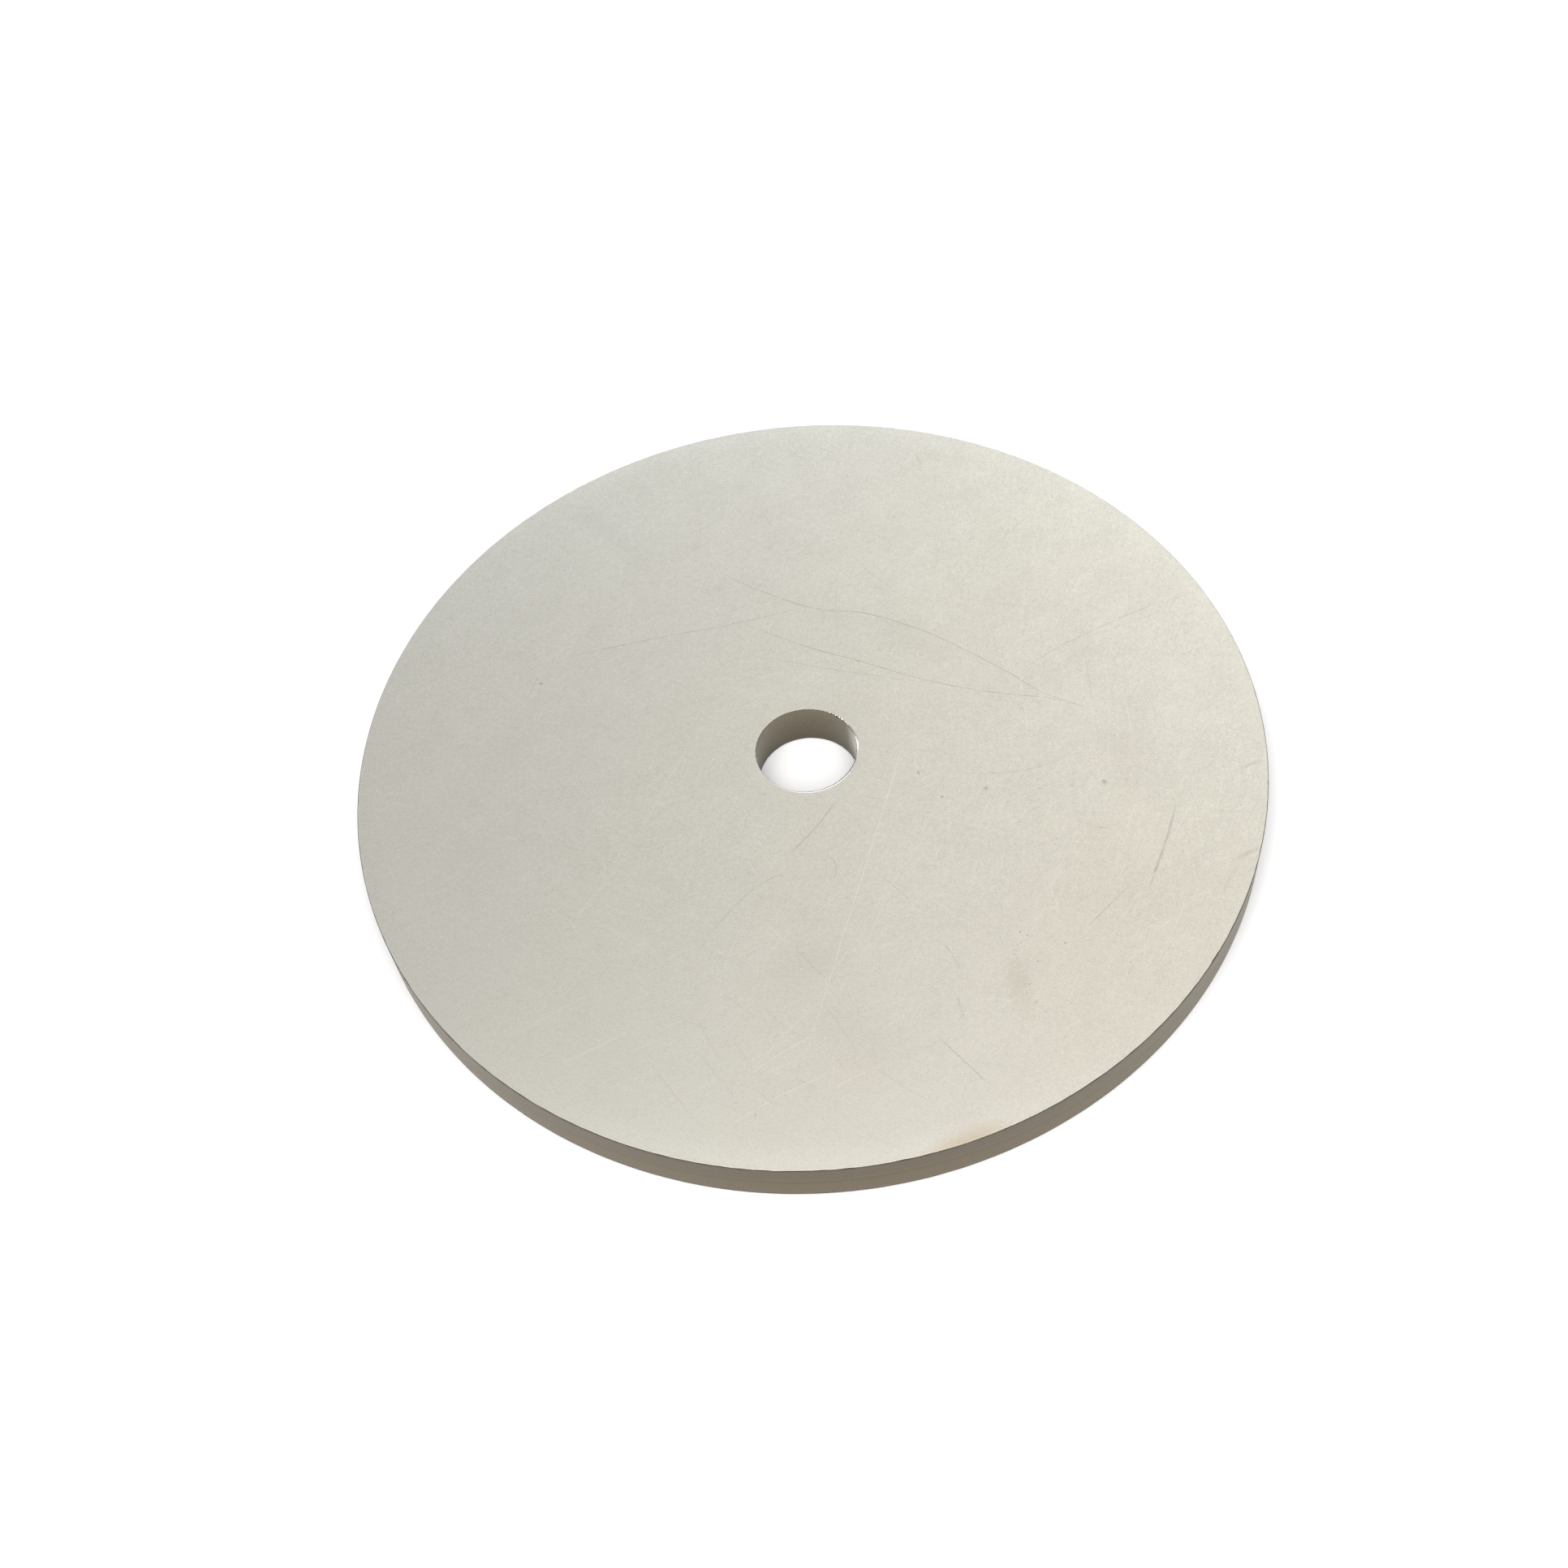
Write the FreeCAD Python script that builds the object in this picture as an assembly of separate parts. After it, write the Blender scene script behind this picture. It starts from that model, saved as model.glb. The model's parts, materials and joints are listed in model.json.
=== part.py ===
import FreeCAD, Part
import os

# A flat lap disc: one round of aluminium plate, turned to size, faced flat on both sides and
# bored for an arbor. It lies on its seat face, which is at Z = 0, and its axis is Z. The
# origin is the centre of the seat face. All lengths are in millimetres.

# Driving dimensions
INCH = 25.4
DISC_DIAMETER = 9 * INCH
DISC_THICKNESS = INCH / 2
ARBOR_DIAMETER = 1 * INCH
ARBOR_CLEARANCE = 0.1  # on the diameter, so that the disc slides onto its arbor
RIM_EDGE_BREAK = 0.3  # leg of the 45 degree chamfer at both edges of the rim
BORE_EDGE_BREAK = 0.4  # leg of the 45 degree chamfer at both mouths of the bore

# Worked out from them
RIM_RADIUS = DISC_DIAMETER / 2
BORE_RADIUS = (ARBOR_DIAMETER + ARBOR_CLEARANCE) / 2
AXIS_FOOT = FreeCAD.Vector(0, 0, 0)
AXIS = FreeCAD.Vector(0, 0, 1)
FULL_TURN = 360


def mouth(wall_radius, edge_break, outward):
    """The corners of one wall of the section, bottom to top: face, wall, wall, face."""
    face_radius = wall_radius - outward * edge_break
    return [
        (face_radius, 0),
        (wall_radius, edge_break),
        (wall_radius, DISC_THICKNESS - edge_break),
        (face_radius, DISC_THICKNESS),
    ]


def disc_section():
    """Half of the disc cut through its axis: the bore's wall, then the rim's."""
    rim = mouth(RIM_RADIUS, RIM_EDGE_BREAK, outward=1)
    bore = mouth(BORE_RADIUS, BORE_EDGE_BREAK, outward=-1)
    corners = [FreeCAD.Vector(radius, 0, height) for radius, height in rim + bore[::-1]]
    return Part.Face(Part.makePolygon(corners + corners[:1]))


def lap_disc():
    """The whole disc, turned from its section."""
    return disc_section().revolve(AXIS_FOOT, AXIS, FULL_TURN)


os.makedirs("parts", exist_ok=True)
sub_parts = {"lap_disc": lap_disc()}
for node, shape in sub_parts.items():
    shape.exportStep(f"parts/{node}.step")
    box = shape.BoundBox
    print(
        f"{node}: {shape.ShapeType}, valid {shape.isValid()}, volume {shape.Volume:.0f} mm3,"
        f" {box.XLength:.1f} x {box.YLength:.1f} x {box.ZLength:.1f} mm"
    )
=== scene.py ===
# %% [markdown]
# # A lap disc of satin aluminium
# A lap disc is the flat, heavy plate that turns under a polishing or sanding sheet. This one is
# a single round of aluminium plate: sawn from stock, turned to size on a lathe, bored for its
# arbor, and worked satin on both faces. The CAD model already holds its true size, so the
# lesson is about what the CAD model leaves out: edges broken by hand, turning marks, scratches
# and a satin skin.

# %% Load the frame
import json
import math
import random

import bpy
import numpy as np
from mathutils import Matrix, Vector
from mathutils.geometry import delaunay_2d_cdt


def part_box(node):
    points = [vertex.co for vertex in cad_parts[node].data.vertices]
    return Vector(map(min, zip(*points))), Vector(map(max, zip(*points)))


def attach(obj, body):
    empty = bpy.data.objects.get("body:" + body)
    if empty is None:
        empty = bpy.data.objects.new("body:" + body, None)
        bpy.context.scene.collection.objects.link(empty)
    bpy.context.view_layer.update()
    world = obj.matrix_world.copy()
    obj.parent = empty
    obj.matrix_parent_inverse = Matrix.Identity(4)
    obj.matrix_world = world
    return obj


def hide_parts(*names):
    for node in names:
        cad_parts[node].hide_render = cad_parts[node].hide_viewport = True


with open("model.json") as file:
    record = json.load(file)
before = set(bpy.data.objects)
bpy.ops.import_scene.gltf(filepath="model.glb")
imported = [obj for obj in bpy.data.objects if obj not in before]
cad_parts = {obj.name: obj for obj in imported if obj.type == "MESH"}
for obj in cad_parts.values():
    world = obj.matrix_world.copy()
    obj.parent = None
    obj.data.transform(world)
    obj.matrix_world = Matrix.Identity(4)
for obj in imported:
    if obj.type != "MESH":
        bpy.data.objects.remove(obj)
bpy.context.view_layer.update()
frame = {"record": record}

# %% [markdown]
# ## Measures
# Every size comes from the frame or is a real workshop size in millimetres. The mesh is built
# in millimetres too, because a scratch is easier to think about as 0.3 than as 0.0003, and it
# is scaled to metres once, at the end.

# %% Measures from the frame
MM = 0.001
mounts = {mount["name"]: mount for mount in frame["record"]["mounts"]}
bore_dims = mounts["arbor_bore"]["dims"]
rim_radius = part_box("lap_disc")[1].x / MM
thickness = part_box("lap_disc")[1].z / MM
bore_radius = bore_dims["r_mm"]
bore_edge_break = (thickness - bore_dims["length_mm"]) / 2
rim_edge_break = 0.3
print(f"rim {rim_radius:.2f} mm, bore {bore_radius:.2f} mm, thickness {thickness:.2f} mm")

# %% [markdown]
# ## Wobble
# Nothing done by hand or by a worn tool is perfectly even. A few sine waves with whole numbers
# of turns round the disc, each with a random start, make an unevenness that closes on itself
# with no seam. The seed is fixed, so that the same disc comes out every time.

# %% Uneven lines that close on themselves
dice = random.Random(9)


def wobble(angles, slowest, fastest, waves=14):
    """An uneven line round the disc, between about -1 and 1."""
    total = np.zeros_like(angles)
    for _ in range(waves):
        turns = dice.randint(slowest, fastest)
        total += np.sin(turns * angles + dice.uniform(0, 2 * math.pi))
    return total / math.sqrt(2 * waves)


def near(angles, middle, width):
    """1 at one place on the circle, falling smoothly to 0 on both sides of it, in degrees."""
    gap = (np.degrees(angles) - middle + 180) % 360 - 180
    return np.exp(-((gap / width) ** 2))


# %% [markdown]
# ## Rings of points
# The rim and the bore are both walls of a turned part, so both are stacks of rings. A Screw
# modifier would spin one section into a perfect wall; stacked rings are used instead, because
# each ring can then wander in its own way.
#
# Three things happen where a face meets a wall. Loose grit wears a face most near its edges,
# so it dips there by less than a tenth of a millimetre. Then comes a shallow lip, and then the
# steep chamfer. The rings crowd together at each corner between them, and smooth shading then
# shows the corner as the tiny radius that a file leaves. Without those close pairs, the shading
# would smear from the chamfer far into the face.

# %% Ring helpers
# How far the dip of a face reaches in from the rim and out from the bore, in mm.
RIM_MARGIN = 7.0
BORE_MARGIN = 4.0
ROLL_OFF_RINGS = 6
# Half the distance between the two rings at a corner.
CORNER = 0.04
# From a face to the first ring of the wall between its two edges.
WALL_GAP = 1.0


def ring(radius, height, angles):
    """One ring of points, as rows of x, y and z. Radius and height may vary round it."""
    radius = np.broadcast_to(radius, angles.shape)
    height = np.broadcast_to(height, angles.shape)
    return np.column_stack([radius * np.cos(angles), radius * np.sin(angles), height])


def broken_edge(angles, wall, outward, margin, roll_off, lip, chamfer):
    """The rings from the upper face over its broken edge to a wall. outward is 1 at the rim
    and -1 at the bore. The face dips by roll_off over the margin. lip is the width and the
    slope of a shallow band, and chamfer those of the steep one below it."""
    lip_width, lip_slope = lip
    edge_break, steepness = chamfer
    lip_foot = roll_off + lip_width * lip_slope
    foot = lip_foot + edge_break * steepness

    def at(inset, drop):
        return ring(wall - outward * inset, thickness - drop, angles)

    shoulder = edge_break + lip_width
    shares = np.linspace(0, 1, ROLL_OFF_RINGS)
    span = shoulder + 3 * CORNER - margin
    dipping = [at(margin + span * share, roll_off * share**2) for share in shares]
    return dipping + [
        at(shoulder + CORNER, roll_off),
        at(shoulder - CORNER, roll_off + CORNER * lip_slope),
        at(edge_break + CORNER, lip_foot - CORNER * lip_slope),
        at(edge_break - CORNER, lip_foot + CORNER * steepness),
        at(CORNER, foot - CORNER * steepness),
        at(0, foot + CORNER),
        at(0, foot + 3 * CORNER),
    ]


def turned_wall(angles, wall, outward, rows, tool_depth, meeting_height):
    """The rings of a turned wall from top to foot. Its bands are up to tool_depth deep, and
    at meeting_height the cuts from its two sides meet."""
    band = np.cumsum([dice.gauss(0, 1) for _ in range(rows)])
    band -= np.linspace(band[0], band[-1], rows)
    band /= max(abs(band).max(), 1)
    drift = wobble(angles, 1, 5)
    heights = np.linspace(thickness - WALL_GAP, WALL_GAP, rows)
    rings = []
    for height, level in zip(heights, band):
        upper_cut = 1 / (1 + math.exp((meeting_height - height) / 0.12))
        depth = 0.5 + 0.5 * level + 0.3 * np.sin(height / 2 + drift) + upper_cut
        rings.append(ring(wall - outward * tool_depth * np.maximum(depth, 0), height, angles))
    return rings


def underside(rings):
    """The same rings on the seat face, listed from the wall back to the face."""
    return [points * [1, 1, -1] + [0, 0, thickness] for points in reversed(rings)]


# %% [markdown]
# ## The rim
# The lathe tool leaves faint bands, and a little over half way down two cuts meet, because
# the disc was turned round in the chuck. A hand file then broke both edges, never quite
# evenly, and use has put a few nicks in them. The bands are real steps of a hundredth of a
# millimetre, which is enough to bend what a wall of bare metal mirrors.

# %% Rings of the rim
RIM_STEPS = 840
ROLL_OFF = 0.09
RIM_LIP = (0.1, 0.1)
NICKS = 12
rim_angles = np.linspace(0, 2 * math.pi, RIM_STEPS, endpoint=False)
filed_top = rim_edge_break * (0.4 + 0.15 * wobble(rim_angles, 3, 170))
for _ in range(NICKS):
    nick = near(rim_angles, dice.uniform(0, 360), dice.uniform(0.25, 0.6))
    filed_top += dice.uniform(0.04, 0.12) * nick
filed_foot = rim_edge_break * (0.8 + 0.15 * wobble(rim_angles, 3, 120))
upper_filing, lower_filing = (filed_top, 1), (filed_foot, 1)
rim_rings = (
    broken_edge(rim_angles, rim_radius, 1, RIM_MARGIN, ROLL_OFF, RIM_LIP, upper_filing)
    + turned_wall(rim_angles, rim_radius, 1, rows=28, tool_depth=0.012, meeting_height=0.46 * thickness)
    + underside(broken_edge(rim_angles, rim_radius, 1, RIM_MARGIN, ROLL_OFF, RIM_LIP, lower_filing))
)
print(f"rim: {len(rim_rings)} rings of {RIM_STEPS} points")

# %% [markdown]
# ## The bore
# The bore was cut with a boring bar and its upper mouth cleaned with a hand countersink that
# leaned to one side: wide where it pressed, almost nothing opposite, and chattering where it
# left the cut. So the lip's width and slope both vary round the mouth. The slope matters most,
# because it decides which light the bright lip mirrors. The chatter is a fast ripple in both.

# %% Rings of the bore
BORE_STEPS = 456
CHATTER_TURNS = 112
MOUTH_DIP = 0.04
bore_angles = np.linspace(0, 2 * math.pi, BORE_STEPS, endpoint=False)
pressed = near(bore_angles, 5, 20)
trailing = near(bore_angles, -60, 62)
teeth = np.maximum(np.sin(CHATTER_TURNS * bore_angles + 3 * wobble(bore_angles, 9, 60)), -0.4)
chatter = near(bore_angles, 42, 17) * teeth * (1 + 0.6 * wobble(bore_angles, 30, 90))
lip_width = np.clip(0.1 + 0.34 * pressed + 0.26 * trailing + 0.3 * chatter, 2.2 * CORNER, 0.55)
lip_slope = 0.12 + 0.38 * pressed + 0.2 * trailing + 0.3 * np.maximum(chatter, 0)
reamed_top = 0.09 + 0.2 * trailing + 0.03 * wobble(bore_angles, 3, 60)
reamed_slope = 1 - 0.4 * trailing
reamed_foot = bore_edge_break * (0.7 + 0.1 * wobble(bore_angles, 2, 40))
lip, chamfer = (lip_width, lip_slope), (reamed_top, reamed_slope)
lower_lip, lower_chamfer = (0.1, 0.2), (reamed_foot, 1)
bore_rings = (
    broken_edge(bore_angles, bore_radius, -1, BORE_MARGIN, MOUTH_DIP, lip, chamfer)
    + turned_wall(bore_angles, bore_radius, -1, rows=20, tool_depth=0.01, meeting_height=0.2 * thickness)
    + underside(
        broken_edge(bore_angles, bore_radius, -1, BORE_MARGIN, MOUTH_DIP, lower_lip, lower_chamfer)
    )
)
print(f"bore: {len(bore_rings)} rings of {BORE_STEPS} points")

# %% [markdown]
# ## Scratches, as a list
# A deep scratch is a small furrow with a raised lip along each side, so it is part of the
# shape as well as of the colour. Each one is a few points in millimetres from the centre, joined by
# a smooth curve, with a width and a tone: below 0 it looks dark, its colour darkened towards its
# bottom as painted shade, and above 0 it is freshly burnished and looks bright.

# %% Furrows that can be seen one by one
# (points, width in mm, tone)
WORKING_FACE_FURROWS = [
    ([(-24, 68), (-10, 56), (6, 46), (20, 42), (34, 34), (44, 26), (54, 17), (62, 9), (74, 2)], 0.41, -0.46),
    ([(-61, 39), (-34, 42), (-13, 44), (6, 47)], 0.39, -0.38),
    ([(-19, 48), (0, 35), (17, 26), (32, 18), (47, 12), (64, 7), (74, 2)], 0.41, -0.42),
    ([(-7, 31), (8, 25), (17, 22), (32, 17)], 0.39, -0.26),
    ([(20, 42), (26, 38), (33, 35)], 0.39, -0.26),
    ([(57, 17), (67, 23), (81, 29), (95, 34), (108, 36)], 0.39, -0.32),
    ([(40, 42), (54, 58), (71, 73)], 0.39, -0.21),
    ([(11, -11), (5, -18), (0, -24), (-7, -31)], 0.43, -0.48),
    ([(-7, -35), (-17, -40), (-27, -50), (-32, -58)], 0.39, -0.29),
    ([(2, -32), (4, -35), (3, -40)], 0.39, -0.38),
    ([(88, -29), (84, -38), (81, -44), (77, -52)], 1.1, -0.34),
    ([(73, -50), (66, -56), (60, -61)], 0.41, -0.38),
    ([(22, -84), (33, -99)], 0.41, -0.45),
    ([(27, -97), (32, -96)], 0.41, -0.26),
    ([(-45, -81), (-34, -99)], 0.39, -0.18),
    ([(-35, 42), (-27, 50)], 0.39, -0.18),
    ([(2, 108), (10, 99)], 0.41, -0.22),
    ([(39, 101), (41, 93)], 0.41, -0.26),
    ([(-5, 83), (-2, 76)], 0.41, -0.26),
    ([(69, -7), (62, -12), (50, -14), (34, -12)], 0.75, -0.15),
    ([(40, 10), (50, 13)], 0.39, -0.17),
    ([(13, -38), (24, -52)], 0.39, -0.21),
    ([(-8, -57), (-2, -66)], 0.41, -0.24),
    ([(-26, -67), (-18, -75)], 0.39, -0.22),
    ([(-20, -98), (-21, -100)], 0.41, -0.52),
    ([(0, -106), (-1, -108)], 0.39, -0.38),
    ([(-12, -90), (-8, -93), (-5, -94)], 0.41, -0.3),
    ([(27, -60), (30, -68)], 0.99, -0.17),
    ([(28, -74), (29, -81)], 0.99, -0.17),
    ([(27, 8), (22, -8), (14, -29), (0, -65), (-10, -91)], 0.38, 0.8),
    ([(-26, 13), (-37, -8), (-50, -30), (-67, -50)], 0.34, 0.51),
    ([(57, 22), (56, 0), (55, -25)], 0.34, 0.47),
    ([(31, -20), (25, -30)], 0.34, 0.47),
    ([(74, -52), (82, -75)], 0.34, 0.5),
    ([(82, 8), (81, -10)], 0.34, 0.47),
    ([(22, 17), (18, 0)], 0.34, 0.3),
    ([(50, -35), (48, -44)], 0.34, 0.41),
    ([(-29, -23), (-37, -30)], 0.34, 0.41),
]
SEAT_FACE_FURROWS = [
    ([(-70, 30), (-20, 52), (35, 48), (66, 20)], 0.39, -0.38),
    ([(-40, -60), (5, -38), (52, -50)], 0.39, -0.3),
    ([(20, 85), (48, 60)], 0.41, -0.35),
    ([(-88, -20), (-60, -58)], 0.34, 0.54),
    ([(30, -20), (62, -44), (84, -48)], 0.34, 0.61),
    ([(-25, 96), (-52, 70)], 0.34, 0.47),
]
# (x, y, radius in mm, tone)
WORKING_FACE_PITS = [
    (-67, 31, 0.45, -0.65),
    (32, -19, 0.5, -0.59),
    (27, -11, 0.65, -0.45),
    (43, -18, 0.9, -0.39),
    (56, -20, 0.6, -0.26),
    (64, -20, 0.6, -0.26),
    (72, -20, 0.9, -0.43),
    (55, -64, 0.35, -0.65),
    (48, -68, 0.35, -0.59),
    (69, -71, 0.35, -0.52),
    (31, 75, 0.7, -0.26),
    (49, 66, 0.45, -0.22),
    (21, -36, 0.3, -0.39),
]
# Something hard skipped along this streak, and left small pits beside it at random.
ROUGH_STREAK = [(45, -60), (43, -67), (44, -74), (48, -83)]
PITS_PER_STRETCH = 13
for start, end in zip(ROUGH_STREAK, ROUGH_STREAK[1:]):
    for _ in range(PITS_PER_STRETCH):
        share = dice.random()
        x = start[0] + share * (end[0] - start[0]) + dice.gauss(0, 0.7)
        y = start[1] + share * (end[1] - start[1]) + dice.gauss(0, 0.6)
        WORKING_FACE_PITS.append((x, y, dice.uniform(0.2, 0.4), -dice.uniform(0.25, 0.55)))
SEAT_FACE_PITS = [(-48, 12, 0.5, -0.52), (60, 58, 0.4, -0.45), (18, -77, 0.6, -0.39)]
print(f"furrows placed by hand: {len(WORKING_FACE_FURROWS)} above, {len(SEAT_FACE_FURROWS)} below")
print(f"pits: {len(WORKING_FACE_PITS)} above, {len(SEAT_FACE_PITS)} below")

# %% [markdown]
# Between the furrows lie many fainter ones, too many to place by hand. Most follow the strokes
# of cleaning and stacking, so they run in families that share a direction, a region and a
# spread. The rest fall anywhere.

# %% Families of faint furrows
# (how many, centre x, centre y, spread in mm, direction in degrees, tone)
FAINT_FAMILIES = [
    (60, -10, -66, 70, 24, 0.45),
    (40, 62, -5, 60, 84, 0.5),
    (34, 15, -35, 60, 66, 0.48),
    (16, -20, -88, 34, -52, -0.22),
    (34, 84, -52, 40, 52, 0.45),
    (12, 45, 5, 40, -24, -0.2),
    (70, 0, 0, 120, None, 0.38),
    (24, 0, 0, 120, None, -0.22),
]


def faint_furrows():
    """Short, slightly bent strokes, drawn family by family."""
    furrows = []
    for count, x, y, spread, direction, tone in FAINT_FAMILIES:
        for _ in range(count):
            heading = dice.uniform(0, 180) if direction is None else dice.gauss(direction, 9)
            along = Vector((math.cos(math.radians(heading)), math.sin(math.radians(heading))))
            middle = Vector((dice.gauss(x, spread / 2), dice.gauss(y, spread / 2)))
            reach = along * min(3 + dice.expovariate(1 / 5), 18)
            bow = along.orthogonal() * dice.gauss(0, 0.04) * reach.length
            points = [tuple(middle - reach), tuple(middle + bow), tuple(middle + reach)]
            furrows.append((points, dice.uniform(0.2, 0.3), tone * dice.uniform(0.5, 1.3)))
    return furrows


# %% [markdown]
# ## Cutting furrows into a flat face
# A flat face needs almost no points, and a scratch needs many close together. Displacing a
# dense grid would spend a million faces on flat metal, so the face is triangulated instead
# with Delaunay's method: it keeps every given line as an edge and fills the rest with as few
# well-shaped triangles as it can. Each furrow gives it lines for its two lips and its bottom.

# %% Routes and their side lines
STROKE_STEP = 1.3
LIP_SHARE = 0.5
# Where the side lines of a furrow run, in half widths from its bottom. A narrow one needs fewer.
DEEP = (-1, -LIP_SHARE, 0, LIP_SHARE, 1)
FAINT = (-1, 0, 1)
FAINT_WIDTH = 0.32


def smooth_route(points):
    """A Catmull-Rom curve through the points, in short straight steps."""
    p = np.array(points, float)
    p = np.vstack([2 * p[0] - p[1], p, 2 * p[-1] - p[-2]])
    route = []
    for a, b, c, d in zip(p, p[1:], p[2:], p[3:]):
        steps = max(2, round(np.linalg.norm(c - b) / STROKE_STEP))
        for t in np.linspace(0, 1, steps, endpoint=False)[:, None]:
            bend = (2 * a - 5 * b + 4 * c - d) * t**2 + (3 * b - a - 3 * c + d) * t**3
            route.append((2 * b + (c - a) * t + bend)[None, :] / 2)
    return np.vstack([step.reshape(-1, 2) for step in route] + [p[-2:-1]])


def inside_face(route):
    """The longest run of a route that stays on the flat part of the face."""
    radius = np.hypot(*route.T)
    fits = (radius > bore_radius + BORE_MARGIN + 0.6) & (radius < rim_radius - RIM_MARGIN - 0.6)
    runs = np.split(np.arange(len(route)), np.flatnonzero(np.diff(fits.astype(int))) + 1)
    runs = [run for run in runs if fits[run[0]] and len(run) > 2]
    return route[max(runs, key=len)] if runs else None


def along_furrow(route, width):
    """The furrow's half width and strength at each point. It tapers at both ends, and its
    strength comes and goes as the grit that made it dug in and skipped."""
    share = np.linspace(0, 1, len(route))
    taper = np.clip(5 * np.minimum(share, 1 - share), 0.08, 1)
    uneven = np.array([dice.uniform(0.75, 1.1) for _ in route])
    strength = np.array([dice.uniform(0.5, 1) for _ in route])
    strength[[0, -1]] = 0
    return width / 2 * taper * uneven, strength


def side_lines(route, half_widths, places):
    """Lines side by side along a furrow, at the given places across it."""
    along = np.gradient(route, axis=0)
    side = np.column_stack([-along[:, 1], along[:, 0]])
    side /= np.linalg.norm(along, axis=1)[:, None]
    return [route + side * half_widths[:, None] * place for place in places]


# %% [markdown]
# Where two furrows cross, the triangulation adds points of its own. So heights aren't carried
# along the lines: each point of the finished face looks up how far it is from every furrow
# and pit, and takes its height and tone from that.

# %% Height and tone at a point
FURROW_DEPTH = 0.035
LIP_HEIGHT = 0.25
PIT_SIDES = 10


def look_up(points, route, half_widths, strengths):
    """How far each point is from a route, how wide the furrow is there and how strong."""
    start, step = route[:-1], np.diff(route, axis=0)
    to_point = points[:, None, :] - start[None, :, :]
    share = np.clip((to_point * step).sum(2) / (step**2).sum(1), 0, 1)
    gap = np.linalg.norm(to_point - share[..., None] * step, axis=2)
    row, nearest = np.arange(len(points)), gap.argmin(1)
    place = nearest + share[row, nearest]
    steps = np.arange(len(route))
    width = np.interp(place, steps, half_widths)
    return gap[row, nearest], width, np.interp(place, steps, strengths)


def across(offset, bottom, lip):
    """A value across a furrow. offset is 0 at the bottom, and past 0.94 the face is flat."""
    return np.interp(offset, [0, LIP_SHARE, 0.94], [bottom, lip, 0])


def height_and_tone(points, furrows, pits):
    """The height in mm and the tone of each point of a face."""
    height, tone = np.zeros(len(points)), np.zeros(len(points))
    for route, half_widths, strengths, furrow_tone in furrows:
        gap, width, strength = look_up(points, route, half_widths, strengths)
        depth = FURROW_DEPTH * abs(furrow_tone) * strength * width / 0.25
        height += depth * across(gap / width, -1, LIP_HEIGHT)
        tone += furrow_tone * strength * across(gap / width, 1, 0.6)
    for x, y, radius, pit_tone in pits:
        offset = np.hypot(points[:, 0] - x, points[:, 1] - y) / radius
        height += FURROW_DEPTH * across(offset, -1, LIP_HEIGHT)
        tone += pit_tone * across(offset, 1, 0.6)
    return height, np.clip(tone, -1, 1)


# %% The face between two rings
GRID_STEP = 6.0


def closed_loop(first, count):
    """The edges of a ring whose points are numbered from first."""
    return [(first + i, first + (i + 1) % count) for i in range(count)]


def marked_lines(outer, inner, marks, pits):
    """The points and edges of both rings, then of every furrow and pit, and the furrows."""
    points = [outer[:, :2], inner[:, :2]]
    edges = closed_loop(0, len(outer)) + closed_loop(len(outer), len(inner))
    furrows = []
    total = len(outer) + len(inner)
    for line, width, tone in marks:
        route = inside_face(smooth_route(line))
        if route is None:
            continue
        half_widths, strengths = along_furrow(route, width)
        furrows.append((route, half_widths, strengths, tone))
        for side in side_lines(route, half_widths, FAINT if width < FAINT_WIDTH else DEEP):
            edges += [(total + i, total + i + 1) for i in range(len(side) - 1)]
            points.append(side)
            total += len(side)
    for x, y, radius, _ in pits:
        turn = np.linspace(0, 2 * math.pi, PIT_SIDES, endpoint=False)
        for share in (LIP_SHARE, 1):
            loop = np.column_stack([x + share * radius * np.cos(turn), y + share * radius * np.sin(turn)])
            edges += closed_loop(total, PIT_SIDES)
            points.append(loop)
            total += PIT_SIDES
        points.append(np.array([[x, y]]))
        total += 1
    return points, edges, furrows


def grid_rings():
    """Rings of loose points, so that no triangle grows much longer than the grid step."""
    rings = []
    for radius in np.arange(bore_radius + BORE_MARGIN + 2, rim_radius - RIM_MARGIN - 1, GRID_STEP):
        turn = np.linspace(0, 2 * math.pi, round(2 * math.pi * radius / GRID_STEP), endpoint=False)
        rings.append(np.column_stack([radius * np.cos(turn), radius * np.sin(turn)]))
    return rings


# %% The worked face
def worked_face(outer, inner, marks, pits):
    """A flat face between two rings, cut along every furrow and pit. Gives its points, heights,
    tones, the ring point that each point is, or -1, and the triangles."""
    points, edges, furrows = marked_lines(outer, inner, marks, pits)
    flat = [Vector(point) for point in np.vstack(points + grid_rings()).tolist()]
    found, _, triangles, sources, _, _ = delaunay_2d_cdt(flat, edges, [], 0, 1e-4, True)
    found = np.array([tuple(point) for point in found])
    number = np.full(len(found), -1)
    for index, source in enumerate(sources):
        on_ring = [s for s in source if s < len(outer) + len(inner)]
        number[index] = on_ring[0] if on_ring else -1
    in_bore = number >= len(outer)
    triangles = [t for t in triangles if not all(in_bore[i] for i in t)]
    height, tone = height_and_tone(found, furrows, pits)
    height[number >= 0] = 0
    return found, height, tone, number, triangles


# %% [markdown]
# ## Putting the disc together
# The walls' rings and the two faces share the points of the rings where they meet, so the
# disc is one closed skin, as a solid piece of metal should be. Walls are shaded smooth, and
# faces flat, so that a lap disc's face really is level and each side of a furrow catches the
# light by itself.

# %% One closed skin
FACE, RIM, BORE, LIP = range(4)


class Skin:
    """Points, faces and what each is made of, gathered before they become a mesh."""

    def __init__(self):
        self.points, self.tones = [], []
        self.faces, self.kinds, self.smooth = [], [], []

    def add_points(self, points, tones):
        first = len(self.points)
        self.points.extend(points)
        self.tones.extend(tones)
        return first

    def add_faces(self, faces, kinds, smooth):
        self.faces.extend(faces)
        self.kinds.extend(kinds)
        self.smooth.extend([smooth] * len(faces))


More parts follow.
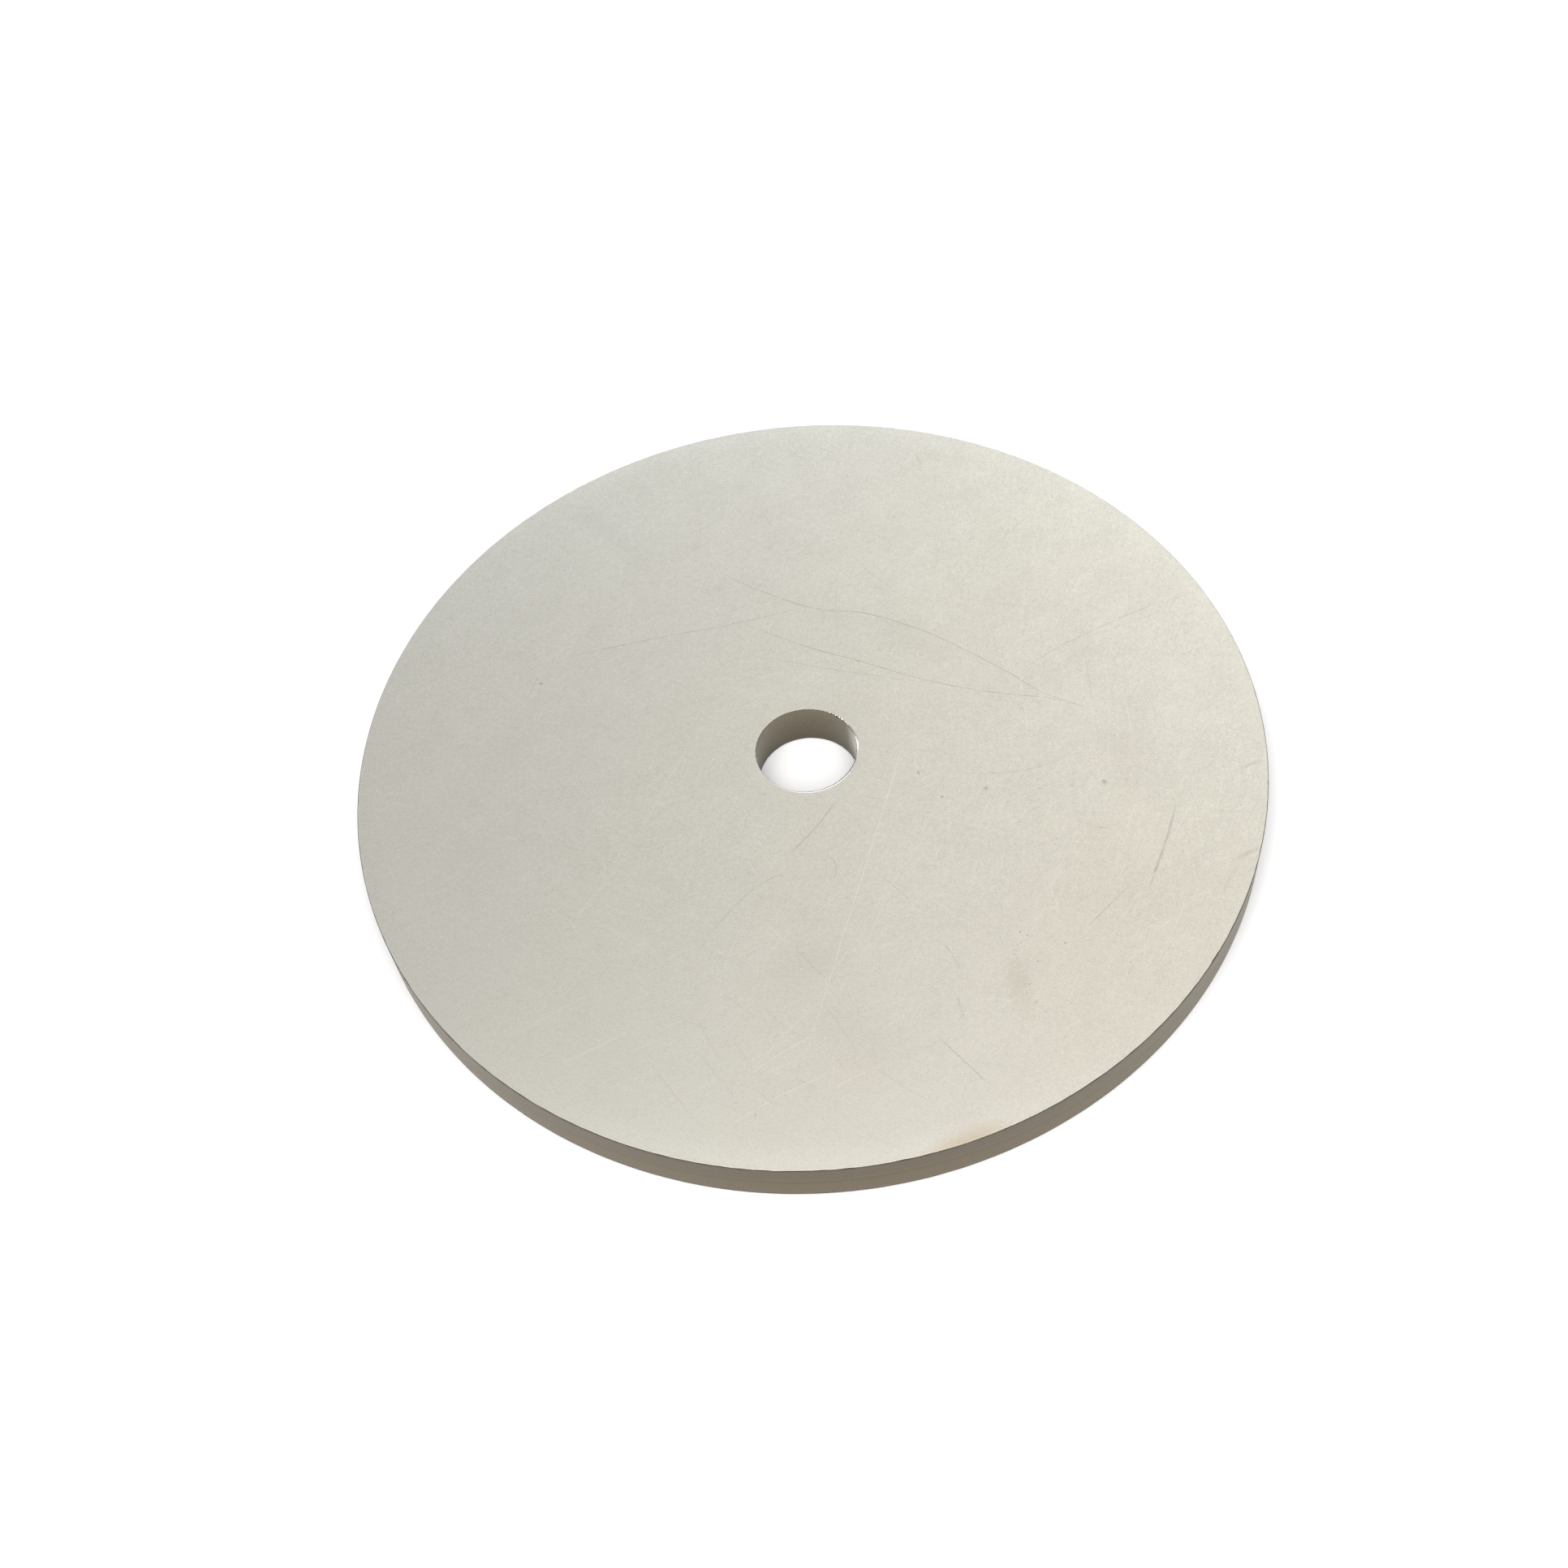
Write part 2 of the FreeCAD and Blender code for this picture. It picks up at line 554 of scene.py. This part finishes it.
# %% Walls and faces of the skin
def add_wall(skin, rings, outward, wall_kind, lip_kind):
    """Joins a stack of rings into bands. Gives the number of its first point."""
    steps = len(rings[0])
    first = skin.add_points(np.vstack(rings).tolist(), [0.0] * steps * len(rings))
    over_edge = [FACE] * ROLL_OFF_RINGS + [lip_kind] * 2 + [wall_kind] * 4
    band_kinds = over_edge + [wall_kind] * (len(rings) - 1 - 2 * len(over_edge)) + over_edge[::-1]
    for level, kind in enumerate(band_kinds):
        above, below = first + level * steps, first + (level + 1) * steps
        band = []
        for i in range(steps):
            j = (i + 1) % steps
            quad = (above + i, below + i, below + j, above + j)
            band.append(quad if outward > 0 else quad[::-1])
        skin.add_faces(band, [kind] * steps, True)
    return first


def add_face(skin, rings, firsts, marks, pits, up):
    """Fills the ring between rim and bore, on the working face if up is true."""
    level = 0 if up else -1
    outer, inner = rings[0][level], rings[1][level]
    found, height, tone, number, triangles = worked_face(outer, inner, marks, pits)
    base = thickness if up else 0
    sign = 1 if up else -1
    ring_start = [
        firsts[0] + (0 if up else (len(rings[0]) - 1) * len(outer)),
        firsts[1] + (0 if up else (len(rings[1]) - 1) * len(inner)),
    ]
    index = np.empty(len(found), int)
    for i, source in enumerate(number):
        if source >= len(outer):
            index[i] = ring_start[1] + source - len(outer)
        elif source >= 0:
            index[i] = ring_start[0] + source
        else:
            place = (*found[i], base + sign * height[i])
            index[i] = skin.add_points([place], [tone[i]])
    faces = []
    for t in triangles:
        a, b, c = (found[i] for i in t)
        counter_clockwise = np.cross(b - a, c - a) > 0
        faces.append(tuple(index[list(t if counter_clockwise == up else t[::-1])]))
    skin.add_faces(faces, [FACE] * len(faces), False)
    print(f"face: {len(faces)} triangles")


# %% The whole skin
skin = Skin()
rings = (rim_rings, bore_rings)
firsts = (add_wall(skin, rim_rings, 1, RIM, FACE), add_wall(skin, bore_rings, -1, BORE, LIP))
working_marks = WORKING_FACE_FURROWS + faint_furrows()
seat_marks = SEAT_FACE_FURROWS + faint_furrows()
add_face(skin, rings, firsts, working_marks, WORKING_FACE_PITS, up=True)
add_face(skin, rings, firsts, seat_marks, SEAT_FACE_PITS, up=False)

# %% The disc as an object
mesh = bpy.data.meshes.new("turned_disc")
mesh.from_pydata((np.array(skin.points) * MM).tolist(), [], [list(map(int, f)) for f in skin.faces])
mesh.polygons.foreach_set("material_index", skin.kinds)
mesh.polygons.foreach_set("use_smooth", skin.smooth)
tone_layer = mesh.attributes.new("furrow_tone", "FLOAT", "POINT")
tone_layer.data.foreach_set("value", np.array(skin.tones, np.float32))
mesh.update()
disc = bpy.data.objects.new("turned_disc", mesh)
bpy.context.scene.collection.objects.link(disc)
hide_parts("lap_disc")
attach(disc, "root")
triangles = sum(len(face) - 2 for face in skin.faces)
print(f"disc: {len(mesh.vertices)} points, {triangles} triangles")

# %% [markdown]
# ## Materials
# The whole disc is one aluminium, finished in four ways. The faces are satin: they were lapped
# flat with loose grit, and cloths and other discs have rubbed them since, so fine hairlines
# run every way. The rim and the bore are bare turned metal, and their colour is darkened and
# browned by painted shade. Only the lip of the bore is worn bright. Each finish is its own
# material, given to its own bands of the skin. The narrow lip of the rim is worn like the face,
# and shares its material.

# %% Colours and nodes
def linear(hex_colour):
    """An sRGB colour such as #AABBCC as the linear RGBA that a shader needs."""
    parts = [int(hex_colour[i : i + 2], 16) / 255 for i in (1, 3, 5)]
    return [p / 12.92 if p <= 0.04045 else ((p + 0.055) / 1.055) ** 2.4 for p in parts] + [1.0]


def add_node(tree, kind, inputs=None, **settings):
    """Adds a node. inputs holds, by socket, plain values and outputs of other nodes."""
    node = tree.nodes.new(kind)
    for name, value in settings.items():
        setattr(node, name, value)
    for socket, value in (inputs or {}).items():
        if isinstance(value, bpy.types.NodeSocket):
            tree.links.new(value, node.inputs[socket])
        else:
            node.inputs[socket].default_value = value
    return node


def new_metal(name):
    """A material with one metal shader. Gives it with its node tree and its shader."""
    material = bpy.data.materials.new(name)
    material.use_nodes = True
    tree = material.node_tree
    shader = tree.nodes["Principled BSDF"]
    shader.inputs["Metallic"].default_value = 1.0
    return material, tree, shader


# %% [markdown]
# A hairline pattern is a noise squeezed across the line and stretched along it. Its scale is
# given in real millimetres, so it stays right if a face's size changes. Cubing the noise keeps
# its rare strong lines and hides the rest. One direction alone would look brushed, so several
# are added together.

# %% Hairlines
def shape_noise(tree, place, size_mm, turn=0.0, detail=1.0):
    """Noise centred on zero. size_mm is how long it runs along each axis once turned."""
    mapped = add_node(
        tree,
        "ShaderNodeMapping",
        {"Vector": place, "Scale": [s * MM for s in size_mm], "Rotation": (0, 0, math.radians(turn))},
        vector_type="TEXTURE",
    )
    noise = add_node(
        tree, "ShaderNodeTexNoise", {"Vector": mapped.outputs[0], "Scale": 1.0, "Detail": detail}
    )
    centred = add_node(
        tree, "ShaderNodeMath", {0: noise.outputs["Fac"], 1: 0.5}, operation="SUBTRACT"
    )
    return centred.outputs[0]


def add_up(tree, parts):
    """The sum of several outputs, each with its own gain."""
    total = 0.0
    for output, gain in parts:
        step = add_node(
            tree, "ShaderNodeMath", {0: output, 1: gain, 2: total}, operation="MULTIPLY_ADD"
        )
        total = step.outputs[0]
    return total


def hairlines(tree, place, directions, size_mm, gain):
    """Fine lines in several directions, given in degrees, as one output centred on zero."""
    parts = []
    for direction in directions:
        noise = shape_noise(tree, place, size_mm, direction)
        cubed = add_node(tree, "ShaderNodeMath", {0: noise, 1: 3.0}, operation="POWER")
        parts.append((cubed.outputs[0], gain))
    return add_up(tree, parts)


# %% [markdown]
# Satin aluminium is pale, slightly warm and soft in its reflections: roughness about 0.4. Its
# lines are drawn some 0.3 mm wide, several times coarser than the grit left them, because real
# ones would be too fine to show. The colour needs only a small range, since bare metal gets its
# light and dark from what it mirrors.

# %% The satin skin
# How wide a line is across the face, and how far it runs down into the metal, in mm.
LINE_WIDTH = 0.28
LINE_DEPTH = 50.0


def satin_pattern(tree, place, bent):
    """How light the worked skin is at each place, centred on zero."""
    long_size, short_size = (6.0, LINE_WIDTH, LINE_DEPTH), (1.4, LINE_WIDTH, LINE_DEPTH)
    long_lines = hairlines(tree, bent, (18, 27, 62, 83, 118, 150, 171), long_size, 30.0)
    short_lines = hairlines(tree, bent, (5, 40, 75, 101, 133, 163), short_size, 30.0)
    axes = add_node(tree, "ShaderNodeSeparateXYZ", {"Vector": place}).outputs
    right_half = add_node(
        tree,
        "ShaderNodeMapRange",
        {"Value": axes["X"], "From Min": 10 * MM, "From Max": 70 * MM},
        interpolation_type="SMOOTHSTEP",
    )
    stroked = hairlines(tree, bent, (52, 60, 86), (8.0, 0.26, LINE_DEPTH), 34.0)
    strokes = add_node(
        tree, "ShaderNodeMath", {0: stroked, 1: right_half.outputs[0]}, operation="MULTIPLY"
    ).outputs[0]
    grain = shape_noise(tree, place, (0.3, 0.3, 0.3), detail=2.0)
    patches = shape_noise(tree, place, (14.0, 14.0, 14.0), 20, detail=3.0)
    shares = [(long_lines, 0.2), (short_lines, 0.24), (strokes, 0.16), (grain, 0.66), (patches, 0.25)]
    return add_up(tree, shares)


# %% [markdown]
# A furrow's or pit's bottom is darkened with painted shade where its tone is below 0, and its
# flanks can be scraped bright. The mesh carries that as a number at each point, the furrow's
# tone, so colour and shape can't drift apart.

# %% Colour in the furrows
def furrow_colours(tree, colour):
    """The same colour, darkened by painted shade where the furrow's tone is below 0 and scraped where above.
    """
    tone = add_node(tree, "ShaderNodeAttribute", attribute_name="furrow_tone").outputs["Fac"]
    # Below 0 the colour is mixed towards a painted shade, above 0 towards bright metal.
    for sign, shade_or_metal in ((-1.0, "#5F5A50"), (1.0, "#FFFEF8")):
        cover = add_node(
            tree, "ShaderNodeMath", {0: tone, 1: sign}, operation="MULTIPLY", use_clamp=True
        )
        mixed = add_node(
            tree,
            "ShaderNodeMix",
            {"Factor": cover.outputs[0], "A": colour, "B": linear(shade_or_metal)},
            data_type="RGBA",
        )
        colour = mixed.outputs["Result"]
    return colour


# %% [markdown]
# Handling leaves broad smudges and one tan stain at the front edge, and two broad patches tint
# the face pinkish towards its front and right. Each is a soft ellipse on the working face, thin
# in height so that it doesn't show through on the other side.

# %% Smudges
# (x, y, long and short radius in mm, turn in degrees, amount, tint)
SMUDGES = [
    (28, -109, 15, 4, 14, 0.42, "#C9A87C"),
    (-3, -61, 16, 11, 20, 0.1, "#A9A49A"),
    (7, -80, 22, 13, -30, 0.1, "#A9A49A"),
    (47, -68, 18, 10, 40, 0.09, "#A9A49A"),
    (82, -8, 26, 14, 80, 0.09, "#AFA59B"),
    (25, 38, 60, 9, -31, 0.07, "#A9A49A"),
    (-48, 86, 22, 6, -48, 0.08, "#A2A4A6"),
    (45, -71, 14, 4.5, 96, 0.2, "#B79C8C"),
    (110, -18, 5, 0.9, 12, 0.25, "#8E877C"),
    (104, -43, 5, 0.9, 20, 0.25, "#8E877C"),
    (98, -50, 6, 0.9, 55, 0.18, "#8E877C"),
    # The last two only tint the face pinkish, towards its front and right.
    (70, -55, 40, 26, 60, 0.07, "#D9BFB0"),
    (0, -90, 22, 13, 10, 0.08, "#D2B9A2"),
]
SMUDGE_HEIGHT = 6.0


def smudged(tree, bent, colour):
    """The same colour with every smudge laid over it."""
    for x, y, long_side, short_side, turn, amount, tint in SMUDGES:
        spot = add_node(
            tree,
            "ShaderNodeMapping",
            {
                "Vector": bent,
                "Location": (x * MM, y * MM, thickness * MM),
                "Rotation": (0, 0, math.radians(turn)),
                "Scale": (long_side * MM, short_side * MM, SMUDGE_HEIGHT * MM),
            },
            vector_type="TEXTURE",
        )
        reach = add_node(tree, "ShaderNodeVectorMath", {0: spot.outputs[0]}, operation="LENGTH")
        cover = add_node(
            tree,
            "ShaderNodeMapRange",
            {"Value": reach.outputs["Value"], "From Min": 1.0, "From Max": 0.0, "To Max": amount},
            interpolation_type="SMOOTHSTEP",
        )
        mixed = add_node(
            tree,
            "ShaderNodeMix",
            {"Factor": cover.outputs[0], "A": colour, "B": linear(tint)},
            data_type="RGBA",
        )
        colour = mixed.outputs["Result"]
    return colour


# %% Satin aluminium
BEND_LENGTH = 30.0
BEND_REACH = 4.0


def satin_aluminium():
    """The skin of both faces, with its hairlines, smudges and furrow colours."""
    material, tree, shader = new_metal("satin aluminium")
    place = add_node(tree, "ShaderNodeTexCoord").outputs["Object"]
    bend = add_node(tree, "ShaderNodeTexNoise", {"Vector": place, "Scale": 1 / (BEND_LENGTH * MM)})
    bent = add_node(
        tree,
        "ShaderNodeVectorMath",
        {0: bend.outputs["Color"], 1: (BEND_REACH * MM,) * 3, 2: place},
        operation="MULTIPLY_ADD",
    ).outputs[0]
    lightness = satin_pattern(tree, place, bent)
    level = add_node(tree, "ShaderNodeMath", {0: lightness, 1: 0.5}, operation="ADD")
    metal = add_node(
        tree,
        "ShaderNodeMix",
        {"Factor": level.outputs[0], "A": linear("#CBC7BC"), "B": linear("#FFFDF3")},
        data_type="RGBA",
    )
    colour = smudged(tree, bent, furrow_colours(tree, metal.outputs["Result"]))
    tree.links.new(colour, shader.inputs["Base Color"])
    dullness = add_node(
        tree, "ShaderNodeMath", {0: lightness, 1: -0.12, 2: 0.42}, operation="MULTIPLY_ADD"
    )
    tree.links.new(dullness.outputs[0], shader.inputs["Roughness"])
    bump = add_node(tree, "ShaderNodeBump", {"Height": lightness, "Strength": 0.2, "Distance": 0.02 * MM})
    tree.links.new(bump.outputs[0], shader.inputs["Normal"])
    return material


# %% [markdown]
# Bare turned metal keeps the marks of the tool. They run all the way round, so the noise that
# draws them is very long round the wall and a quarter of a millimetre high. The colour follows
# the height on the wall as painted shade, darkest at the foot of each wall and, on the rim, just
# under its top edge. It is the same on every side of the disc.
#
# It is darker and browner than clean aluminium, and that is a choice. A wall of bare metal shows
# the room round it, and this stage is whiter than most rooms, so painted shade, standing in for a
# darker room, is put into the metal's own colour. The bore has one bright patch, a painted
# reflection, beside the widest part of its lip.

# %% Colours of the walls
# These colours hold painted shade: the rim darkest at its foot and under its top edge, the bore darkest at
# its foot.
# (share of the wall's height, colour)
RIM_COLOURS = [(0.0, "#514A3E"), (0.08, "#776D5B"), (0.42, "#726855"), (0.5, "#6A604C")]
RIM_COLOURS += [(0.57, "#706653"), (0.9, "#6E6457"), (1.0, "#5A5346")]
BORE_COLOURS = [(0.0, "#5C5649"), (0.5, "#70695A"), (0.8, "#7E7666"), (1.0, "#898171")]


def colours_by_height(tree, place, stops):
    """The colour that the stops give, read from the foot of the wall to its top."""
    height = add_node(tree, "ShaderNodeSeparateXYZ", {"Vector": place}).outputs["Z"]
    share = add_node(tree, "ShaderNodeMapRange", {"Value": height, "From Max": thickness * MM})
    colours = add_node(tree, "ShaderNodeValToRGB", {"Fac": share.outputs[0]})
    ramp = colours.color_ramp
    while len(ramp.elements) < len(stops):
        ramp.elements.new(0.5)
    for element, (position, colour) in zip(ramp.elements, stops):
        element.position = position
        element.color = linear(colour)
    return colours.outputs["Color"]


# %% A patch of painted reflection
def painted_reflection_patch(tree, place, colour, start, end):
    """The same colour, brightened towards the top of the wall between two places along x: a painted
    reflection.
    """
    axes = add_node(tree, "ShaderNodeSeparateXYZ", {"Vector": place}).outputs
    side = add_node(
        tree,
        "ShaderNodeMapRange",
        {"Value": axes["X"], "From Min": start * MM, "From Max": end * MM},
        interpolation_type="SMOOTHSTEP",
    )
    high = add_node(tree, "ShaderNodeMapRange", {"Value": axes["Z"], "From Max": thickness * MM})
    cover = add_node(
        tree, "ShaderNodeMath", {0: side.outputs[0], 1: high.outputs[0]}, operation="MULTIPLY"
    )
    return add_node(
        tree,
        "ShaderNodeMix",
        {"Factor": cover.outputs[0], "A": colour, "B": linear("#F0EDE2")},
        data_type="RGBA",
    ).outputs["Result"]


# %% Turned aluminium
def turned_aluminium(name, stops, mark_strength, reflection_span=None):
    """Turned metal, darkened by the painted shade in its colour stops. Its last argument is the start and
    end of a patch of painted reflection, if it has one.
    """
    material, tree, shader = new_metal(name)
    place = add_node(tree, "ShaderNodeTexCoord").outputs["Object"]
    colour = colours_by_height(tree, place, stops)
    tool_marks = shape_noise(tree, place, (200.0, 200.0, 0.25), detail=2.0)
    broad_marks = shape_noise(tree, place, (160.0, 160.0, 1.2), detail=1.0)
    specks = shape_noise(tree, place, (0.6, 0.6, 0.45), detail=2.0)
    lightness = add_up(
        tree,
        [(tool_marks, 0.45 * mark_strength), (broad_marks, 0.25 * mark_strength), (specks, 0.4)],
    )
    level = add_node(tree, "ShaderNodeMath", {0: lightness, 1: 1.0}, operation="ADD")
    colour = add_node(
        tree, "ShaderNodeVectorMath", {0: colour, "Scale": level.outputs[0]}, operation="SCALE"
    ).outputs[0]
    if reflection_span:
        colour = painted_reflection_patch(tree, place, colour, *reflection_span)
    tree.links.new(colour, shader.inputs["Base Color"])
    shader.inputs["Roughness"].default_value = 0.42
    bump = add_node(tree, "ShaderNodeBump", {"Height": tool_marks, "Strength": 0.3, "Distance": 0.03 * MM})
    tree.links.new(bump.outputs[0], shader.inputs["Normal"])
    return material


# %% [markdown]
# The lip of the bore is worn bright, so it is nearly white and mirrors more sharply than the
# rest. How bright it is comes and goes over a few millimetres.

# %% Bright aluminium
def worn_aluminium():
    """The lip of the bore: the same metal, worn nearly white."""
    material, tree, shader = new_metal("worn bright aluminium")
    place = add_node(tree, "ShaderNodeTexCoord").outputs["Object"]
    wear = shape_noise(tree, place, (3.0, 3.0, 0.4), detail=3.0)
    level = add_node(tree, "ShaderNodeMath", {0: wear, 1: 0.5}, operation="ADD")
    metal = add_node(
        tree,
        "ShaderNodeMix",
        {"Factor": level.outputs[0], "A": linear("#F2EFE6"), "B": linear("#FFFFFC")},
        data_type="RGBA",
    )
    tree.links.new(metal.outputs["Result"], shader.inputs["Base Color"])
    dullness = add_node(tree, "ShaderNodeMath", {0: wear, 1: 0.15, 2: 0.28}, operation="MULTIPLY_ADD")
    tree.links.new(dullness.outputs[0], shader.inputs["Roughness"])
    return material


# %% The finishes on the disc
# Both walls are darkened by the painted shade in their colours.
shaded_rim = turned_aluminium("turned aluminium, rim with painted shade", RIM_COLOURS, 1.0)
# The bore's bright patch, rising from 10.5 to 13.4 mm along x, is a painted reflection.
shaded_bore = turned_aluminium("turned aluminium, bore with painted shade and reflection", BORE_COLOURS, 0.4, reflection_span=(10.5, 13.4))
for finish in (satin_aluminium(), shaded_rim, shaded_bore, worn_aluminium()):
    disc.data.materials.append(finish)
    print("finish:", finish.name)

# %% [markdown]
# ## The stage
# A plain white table under soft lights. Metal shows its surroundings, so the lights shape the
# picture more than the material does: the face mirrors what hangs behind and above it, and the
# wall facing the viewer mirrors the table.
#
# The key hangs high on the viewer's side, so it whitens the table without showing in the face.
# The dim lights on the far side are what the face mirrors. The cool ones stand low and the warm
# one high, and those on the right make the face brighter towards the right. The lowest two also
# show in the lip of the bore, which is tilted just enough to catch them.

# %% Table
table_mesh = bpy.data.meshes.new("table")
reach = 4.0
drop = -0.05 * MM
table_mesh.from_pydata(
    [(-reach, -reach, drop), (reach, -reach, drop), (reach, reach, drop), (-reach, reach, drop)],
    [],
    [(0, 1, 2, 3)],
)
table = bpy.data.objects.new("table", table_mesh)
bpy.context.scene.collection.objects.link(table)
paper = bpy.data.materials.new("white paper")
paper.use_nodes = True
paper_shader = paper.node_tree.nodes["Principled BSDF"]
paper_shader.inputs["Base Color"].default_value = linear("#FCFCFC")
paper_shader.inputs["Roughness"].default_value = 0.9
paper_shader.inputs["Specular IOR Level"].default_value = 0.0
table_mesh.materials.append(paper)

# %% Lights
LIGHT_DISTANCE = 1.3


def softbox(name, azimuth, elevation, size, radiance, colour):
    """A square light aimed at the disc. azimuth 0 is behind it and 90 is to its right, and
    size is in metres."""
    light = bpy.data.lights.new(name, "AREA")
    light.shape = "SQUARE"
    light.size = size
    light.color = colour
    light.energy = radiance * math.pi * size**2
    side, rise = math.radians(azimuth), math.radians(elevation)
    direction = Vector(
        (math.sin(side) * math.cos(rise), math.cos(side) * math.cos(rise), math.sin(rise))
    )
    lamp = bpy.data.objects.new(name, light)
    lamp.location = direction * LIGHT_DISTANCE
    lamp.rotation_euler = direction.to_track_quat("Z", "Y").to_euler()
    bpy.context.scene.collection.objects.link(lamp)


softbox("key", -172, 65, 1.1, 5.45, (1.0, 1.0, 1.0))
softbox("far_low", 0, 14, 1.0, 1.4, (0.83, 0.91, 1.0))
softbox("far_high", 0, 50, 1.1, 0.3, (1.0, 1.0, 1.0))
softbox("far_right_low", 50, 24, 1.1, 1.1, (0.78, 0.86, 1.0))
softbox("far_right_high", 40, 50, 1.1, 0.39, (1.0, 0.86, 0.62))
softbox("far_left_low", -52, 22, 0.8, 1.2, (1.0, 1.0, 1.0))

world = bpy.data.worlds.new("soft room")
bpy.context.scene.world = world
world.use_nodes = True
room = world.node_tree.nodes["Background"]
room.inputs["Color"].default_value = (1.0, 1.0, 1.0, 1.0)
room.inputs["Strength"].default_value = 0.13
bpy.context.scene.view_settings.view_transform = "Standard"

# %% [markdown]
# ## The camera
# It looks down on the disc from the front at about 54 degrees and is rolled slightly, as when
# it is held by hand. It stands about 4.4 disc radii away, near enough for the far half of the
# disc to look narrower than the near half. Distances here are in disc radii, so the view
# stays framed if the disc's size changes.

# %% Camera
CAMERA_DISTANCE = 4.399
CAMERA_ELEVATION = math.radians(53.865)
CAMERA_ROLL = math.radians(-7.558)
CAMERA_AIM = (-0.0565, -0.0857)
SENSOR = 36.0
LENS_TO_SENSOR = 1.2702

radius, top = rim_radius * MM, thickness * MM
camera_place = Vector((
    0,
    -CAMERA_DISTANCE * radius * math.cos(CAMERA_ELEVATION),
    CAMERA_DISTANCE * radius * math.sin(CAMERA_ELEVATION) + top,
))
aim = Vector((CAMERA_AIM[0] * radius, CAMERA_AIM[1] * radius, top))
forward = (aim - camera_place).normalized()
level_right = forward.cross(Vector((0, 0, 1))).normalized()
level_up = level_right.cross(forward)
right = math.cos(CAMERA_ROLL) * level_right + math.sin(CAMERA_ROLL) * level_up
up = -math.sin(CAMERA_ROLL) * level_right + math.cos(CAMERA_ROLL) * level_up

camera_data = bpy.data.cameras.new("camera")
camera_data.sensor_width = SENSOR
camera_data.lens = LENS_TO_SENSOR * SENSOR
camera = bpy.data.objects.new("camera", camera_data)
camera.matrix_world = Matrix((
    (right.x, up.x, -forward.x, camera_place.x),
    (right.y, up.y, -forward.y, camera_place.y),
    (right.z, up.z, -forward.z, camera_place.z),
    (0, 0, 0, 1),
))
bpy.context.scene.collection.objects.link(camera)
bpy.context.scene.camera = camera
print(f"camera: {CAMERA_DISTANCE * rim_radius:.0f} mm away, lens {camera_data.lens:.1f} mm")
